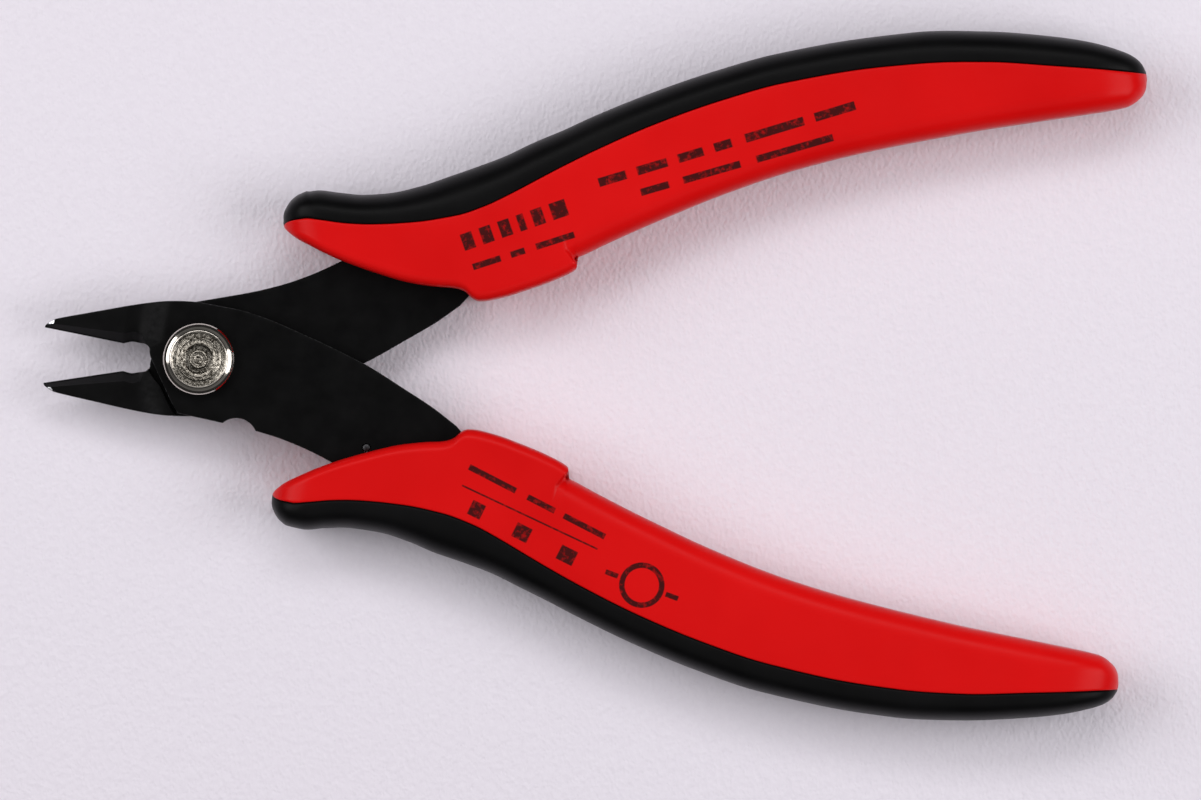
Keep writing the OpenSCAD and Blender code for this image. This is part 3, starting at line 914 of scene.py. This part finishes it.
def strip_mesh(name, rear, mat):
    loops = []
    nd = 18
    for x, s, o, h in zip(X_UP if rear else X_LOW, S_, O_UP if rear else O_LOW, H_):
        w = max(o - s, 0.02)
        hb = h - min(0.10, 0.1 * h)
        g = min(0.2, 0.15 * w)
        half = [(s + 0.002, max(0.3 * h, hb - 1.0)), (s + 0.01, hb - 1.6 * g), (s + 0.25 * g, hb - 0.6 * g),
                (s + 0.9 * g, hb - 0.12 * g)]
        for k in range(nd + 1):
            a = math.pi / 2 * k / nd
            half.append((s + 1.6 * g + (w - 1.6 * g) * math.sin(a) ** 0.74, hb * math.cos(a) ** 0.74 if k < nd else 0.0))
        dy = 0.0 if rear else LOW_IN
        up = [(x, y - dy, z) for y, z in half]
        down = [(x, y - dy, -z) for y, z in half[:-1]][::-1]
        loops.append(up + down)
    co = np.array(loops).reshape(-1, 3)
    return make(name, to_row(co, rear), rings(loops), 55, mats=[mat])


UP_MARKS = [
    ("bars", ((39.1, 10.1), 10.6, 13.6, 2.1, [(0.02, 0.13), (0.19, 0.30), (0.36, 0.47), (0.53, 0.60), (0.66, 0.77), (0.83, 0.98)])),
    ("bars", ((39.9, 6.95), 9.3, 13.0, 0.85, [(0.0, 0.27), (0.36, 0.5), (0.60, 0.97)])),
    ("bars", ((65.2, 15.8), 8.3, 31.6, 1.15, [(0.0, 0.11), (0.15, 0.27), (0.31, 0.41), (0.45, 0.52), (0.57, 0.80), (0.84, 1.0)])),
    ("bars", ((66.0, 13.2), 7.5, 23.6, 0.95, [(0.0, 0.15), (0.22, 0.52), (0.60, 1.0)])),
]
LOW_MARKS = [
    ("bars", ((42.2, 8.6), 15.8, 18.4, 0.8, [(0.02, 0.36), (0.44, 0.64), (0.70, 1.0)])),
    ("bars", ((41.9, 10.6), 13.7, 17.7, 0.3, [(0.0, 1.0)])),
    ("bars", ((41.5, 12.6), 15.2, 14.6, 1.9, [(0.02, 0.14), (0.42, 0.56), (0.82, 0.97)])),
    ("ring", ((56.4, 15.8), 2.35, 0.75)),
    ("bars", ((56.4, 15.8), 9.0, 9.2, 0.7, [(0.0, 0.18), (0.82, 1.0)])),
]
RED_UP, RED_LOW = red_plastic("red_plastic_upper", UP_MARKS), red_plastic("red_plastic_lower", LOW_MARKS)

upper_body = body_mesh("upper_grip_shell", True, RED_UP)
lower_body = body_mesh("lower_grip_shell", False, RED_LOW)
upper_strip = strip_mesh("upper_grip_back", True, RUBBER)
lower_strip = strip_mesh("lower_grip_back", False, RUBBER)

# ------------------------------------------------------------------ frame

for ob, node, body, slot in (
        (front_blade, "front_blade", "front_half", "blackened_steel"),
        (rear_blade, "rear_blade", "rear_half", "blackened_steel"),
        (stud, "pivot_stud", "rear_half", "nickel_steel"),
        (collar, "pivot_collar", "rear_half", "nickel_steel"),
        (wire_ob, "return_spring", None, "spring_wire"),
        (upper_body, "upper_grip_body", "rear_half", "red_plastic"),
        (upper_strip, "upper_grip_strip", "rear_half", "black_elastomer"),
        (lower_body, "lower_grip_body", "front_half", "red_plastic"),
        (lower_strip, "lower_grip_strip", "front_half", "black_elastomer")):
    if body:
        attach(ob, body)
    else:
        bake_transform(ob)
    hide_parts(node)

# ------------------------------------------------------------------ stage

def floor():
    n = 60
    size = 1.6
    verts = [((i / n - 0.5) * size, (j / n - 0.5) * size, 0.0) for j in range(n + 1) for i in range(n + 1)]
    faces = [(j * (n + 1) + i, j * (n + 1) + i + 1, (j + 1) * (n + 1) + i + 1, (j + 1) * (n + 1) + i)
             for j in range(n) for i in range(n)]
    ob = make("floor", verts, faces, 60, mats=[floor_mat()])
    ob.location = (0, 0, -0.00002)
    return ob


floor()


def area(name, loc, target, size, power, colour=(1, 1, 1)):
    d = bpy.data.lights.new(name, "AREA")
    d.shape = "RECTANGLE"
    d.size, d.size_y = size
    d.energy = power
    d.color = colour
    o = bpy.data.objects.new(name, d)
    o.location = loc
    o.rotation_euler = (Vector(target) - Vector(loc)).to_track_quat("-Z", "Y").to_euler()
    scene.collection.objects.link(o)
    return o


area("left_box", (-0.45, 0.13, 0.42), (0, 0, 0), (0.44, 0.40), 1.95, (1.0, 0.985, 1.0))
area("right_box", (0.47, -0.03, 0.42), (0, 0, 0), (0.44, 0.40), 2.05, (1.0, 0.985, 1.0))
area("top_fill", (0.0, 0.36, 0.54), (0, 0, 0), (0.5, 0.16), 0.82, (1.0, 0.985, 1.0))
area("bottom_fill", (0.12, -0.36, 0.54), (0, 0, 0), (0.5, 0.16), 0.06, (1.0, 0.985, 1.0))

world = bpy.data.worlds.new("studio")
scene.world = world
world.use_nodes = True
bg = world.node_tree.nodes["Background"]
wt = world.node_tree
sky = wt.nodes.new("ShaderNodeTexCoord")
sep = wt.nodes.new("ShaderNodeSeparateXYZ")
wt.links.new(sky.outputs["Generated"], sep.inputs[0])
wr = wt.nodes.new("ShaderNodeValToRGB")
wr.color_ramp.elements[0].position = 0.45
wr.color_ramp.elements[0].color = (0.03, 0.0295, 0.03, 1)
wr.color_ramp.elements[1].position = 0.85
wr.color_ramp.elements[1].color = (0.42, 0.4145, 0.42, 1)
wt.links.new(sep.outputs[2], wr.inputs[0])
wt.links.new(wr.outputs[0], bg.inputs["Color"])
bg.inputs["Strength"].default_value = 1.0

cam_d = bpy.data.cameras.new("camera")
cam = bpy.data.objects.new("camera", cam_d)
scene.collection.objects.link(cam)
DIST = 1.50
cam_d.sensor_width = 36.0
cam_d.lens = 36.0 * DIST / 0.1417
cam_d.clip_start = 0.01
cam.location = (0.0011, -0.00358, 0.0055 + DIST)
cam.rotation_euler = (0, 0, math.radians(1.5))
scene.camera = cam
